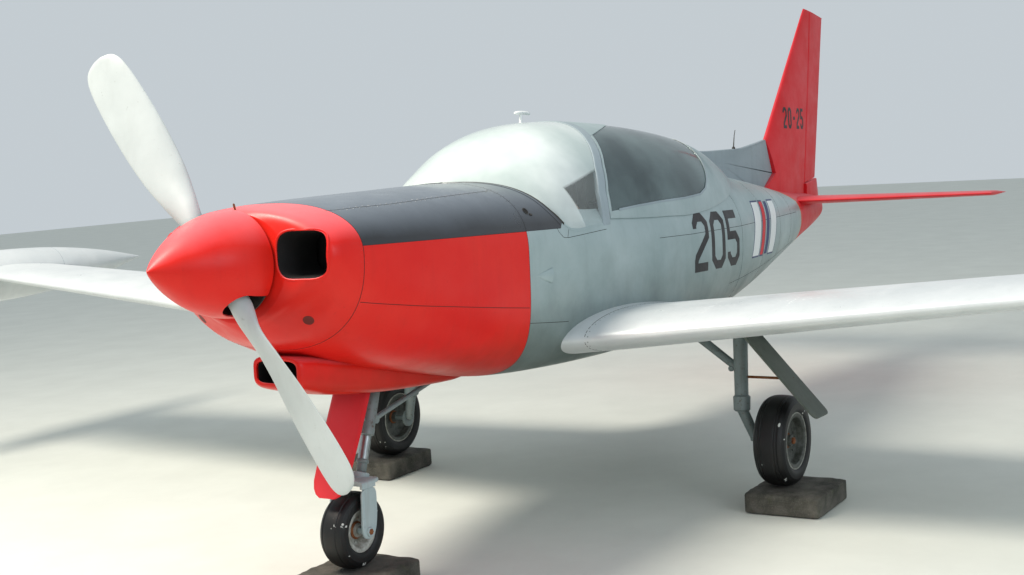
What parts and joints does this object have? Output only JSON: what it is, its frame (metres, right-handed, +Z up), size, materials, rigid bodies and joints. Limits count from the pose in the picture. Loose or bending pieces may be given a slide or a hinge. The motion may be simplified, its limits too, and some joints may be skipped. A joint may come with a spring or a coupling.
{
  "type": "aerobatic trainer aircraft",
  "caption": "Low-wing light trainer aircraft with tip tanks, a sliding canopy, a tractor propeller and retractable-type gear, parked on concrete blocks",
  "frame": {"origin": "centre of the bounding box on the ground, under the undersides of the blocks", "axes": "+X towards the nose, +Y towards the port wing tip, +Z up"},
  "size_m": [7.0126, 8.35, 2.6884],
  "materials": {
    "acrylic_glazing": "clear acrylic",
    "aircraft_red_paint": "gloss paint",
    "aluminium_grey_paint": "grey paint",
    "aluminium_silver_paint": "weathered silver paint",
    "anti_glare_black_paint": "satin paint",
    "cast_iron_engine": "bare metal",
    "concrete": "cast concrete",
    "matte_plastic_trim": "matte",
    "rubber_tyre": "black rubber",
    "seat_fabric": "woven fabric",
    "steel_gear_paint": "painted steel"
  },
  "bodies": {
    "airframe": {"nose_bowl": "aircraft_red_paint", "upper_cowl": "anti_glare_black_paint", "lower_cowl": "aircraft_red_paint", "engine_block": "cast_iron_engine", "scuttle_deck": "anti_glare_black_paint", "cabin_section": "aluminium_silver_paint", "rear_fuselage": "aluminium_silver_paint", "tail_cone": "aircraft_red_paint", "tailplane_left": "aircraft_red_paint", "tailplane_right": "aircraft_red_paint", "fin": "aircraft_red_paint", "dorsal_fin": "aluminium_grey_paint", "windscreen": "acrylic_glazing", "windscreen_bow": "aluminium_silver_paint", "roof_aerial": "aluminium_grey_paint", "wing_left": "aluminium_silver_paint", "wing_right": "aluminium_silver_paint", "tip_tank_left": "aluminium_silver_paint", "tip_tank_right": "aluminium_silver_paint", "nose_leg": "steel_gear_paint", "nose_door": "aircraft_red_paint", "nose_drag_strut": "steel_gear_paint", "main_leg_left": "steel_gear_paint", "main_leg_right": "steel_gear_paint", "main_door_left": "aluminium_silver_paint", "main_door_right": "aluminium_silver_paint", "seat_left": "seat_fabric", "seat_right": "seat_fabric", "rear_seat": "seat_fabric", "instrument_panel": "matte_plastic_trim", "control_sticks": "matte_plastic_trim", "wheel_block_nose": "concrete", "wheel_block_left": "concrete", "wheel_block_right": "concrete"},
    "propeller": {"spinner": "aircraft_red_paint", "propeller_hub": "steel_gear_paint", "propeller_blade_1": "aluminium_grey_paint", "propeller_blade_2": "aluminium_grey_paint"},
    "canopy": {"canopy_frame": "aluminium_silver_paint", "canopy_glass": "acrylic_glazing"},
    "elevator": {"elevator": "aircraft_red_paint"},
    "rudder": {"rudder": "aircraft_red_paint"},
    "flap_left": {"flap_left": "aluminium_silver_paint"},
    "flap_right": {"flap_right": "aluminium_silver_paint"},
    "aileron_left": {"aileron_left": "aluminium_silver_paint"},
    "aileron_right": {"aileron_right": "aluminium_silver_paint"},
    "nose_fork": {"nose_fork": "steel_gear_paint"},
    "nose_wheel": {"nose_rim": "steel_gear_paint", "nose_tyre": "rubber_tyre"},
    "main_wheel_left": {"main_rim_left": "steel_gear_paint", "main_tyre_left": "rubber_tyre"},
    "main_wheel_right": {"main_rim_right": "steel_gear_paint", "main_tyre_right": "rubber_tyre"}
  },
  "joints": [
    {"name": "propeller_spin", "type": "hinge", "parent": "airframe", "child": "propeller", "pos_m": [3.16448, 0, 1.41407], "axis": [0.9995, 0, 0.0319], "continuous": true},
    {"name": "canopy_slide", "type": "slide", "parent": "airframe", "child": "canopy", "axis": [-1, 0, 0], "range_m": [0, 0.7]},
    {"name": "elevator_hinge", "type": "hinge", "parent": "airframe", "child": "elevator", "pos_m": [-2.92271, 0, 1.29162], "axis": [0, 1, 0], "range_deg": [-16, 24]},
    {"name": "rudder_hinge", "type": "hinge", "parent": "airframe", "child": "rudder", "pos_m": [-3.06427, 0, 2.00346], "axis": [-0.2086, 0, 0.978], "range_deg": [-30, 30]},
    {"name": "flap_left_hinge", "type": "hinge", "parent": "airframe", "child": "flap_left", "pos_m": [0.4588, 1.387, 0.94809], "axis": [0.1013, 0.9896, 0.1025], "range_deg": [-50, 0]},
    {"name": "flap_right_hinge", "type": "hinge", "parent": "airframe", "child": "flap_right", "pos_m": [0.4588, -1.387, 0.94809], "axis": [-0.1013, 0.9896, -0.1025], "range_deg": [-50, 0]},
    {"name": "aileron_left_hinge", "type": "hinge", "parent": "airframe", "child": "aileron_left", "pos_m": [0.59616, 2.925, 1.10265], "axis": [0.1058, 0.9894, 0.0991], "range_deg": [-13, 24]},
    {"name": "aileron_right_hinge", "type": "hinge", "parent": "airframe", "child": "aileron_right", "pos_m": [0.59616, -2.925, 1.10265], "axis": [-0.1058, 0.9894, -0.0991], "range_deg": [-24, 13]},
    {"name": "nose_steer", "type": "hinge", "parent": "airframe", "child": "nose_fork", "pos_m": [2.43116, 0, 0.48218], "axis": [-0.3437, 0, 0.9391], "range_deg": [-20, 20]},
    {"name": "nose_wheel_spin", "type": "hinge", "parent": "nose_fork", "child": "nose_wheel", "pos_m": [2.51306, 0, 0.2584], "axis": [0, 1, 0], "continuous": true},
    {"name": "main_wheel_left_spin", "type": "hinge", "parent": "airframe", "child": "main_wheel_left", "pos_m": [0.69228, 1.169, 0.3164], "axis": [0, 1, 0], "continuous": true},
    {"name": "main_wheel_right_spin", "type": "hinge", "parent": "airframe", "child": "main_wheel_right", "pos_m": [0.69228, -1.169, 0.3164], "axis": [0, 1, 0], "continuous": true}
  ],
  "couplings": [
    {"joint": "flap_right_hinge", "follows": "flap_left_hinge", "ratio": 1},
    {"joint": "aileron_right_hinge", "follows": "aileron_left_hinge", "ratio": -1}
  ]
}
